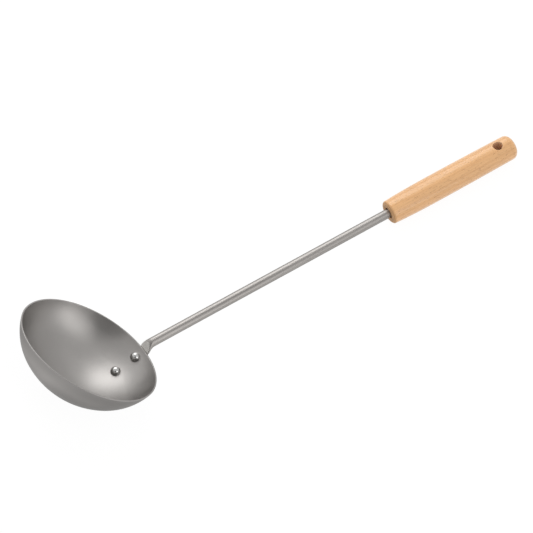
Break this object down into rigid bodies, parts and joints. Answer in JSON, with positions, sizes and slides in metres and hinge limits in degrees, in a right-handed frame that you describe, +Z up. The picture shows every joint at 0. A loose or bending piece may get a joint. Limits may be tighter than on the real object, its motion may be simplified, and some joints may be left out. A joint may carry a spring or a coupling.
{
  "type": "wok ladle",
  "caption": "Long-handled kitchen ladle with a deep round steel bowl, a tubular steel shaft pressed flat and riveted to it, and a turned wooden handle.",
  "frame": {"origin": "middle of the underside of the bounding box, on the table that the ladle lies on", "axes": "+X along the shaft from the bowl to the handle, +Z up from the table; the ladle lies rolled about 19 degrees to its +Y side, as it comes to rest"},
  "size_m": [0.4716, 0.1213, 0.093],
  "materials": {
    "bowl_steel": "matt blasted stainless steel",
    "shaft_steel": "satin stainless steel",
    "rivet_steel": "polished stainless steel",
    "wood": "clear-lacquered beech"
  },
  "bodies": {
    "root": {"bowl": "bowl_steel", "shaft": "shaft_steel", "handle": "wood", "rivet_upper": "rivet_steel", "rivet_lower": "rivet_steel"}
  },
  "joints": []
}
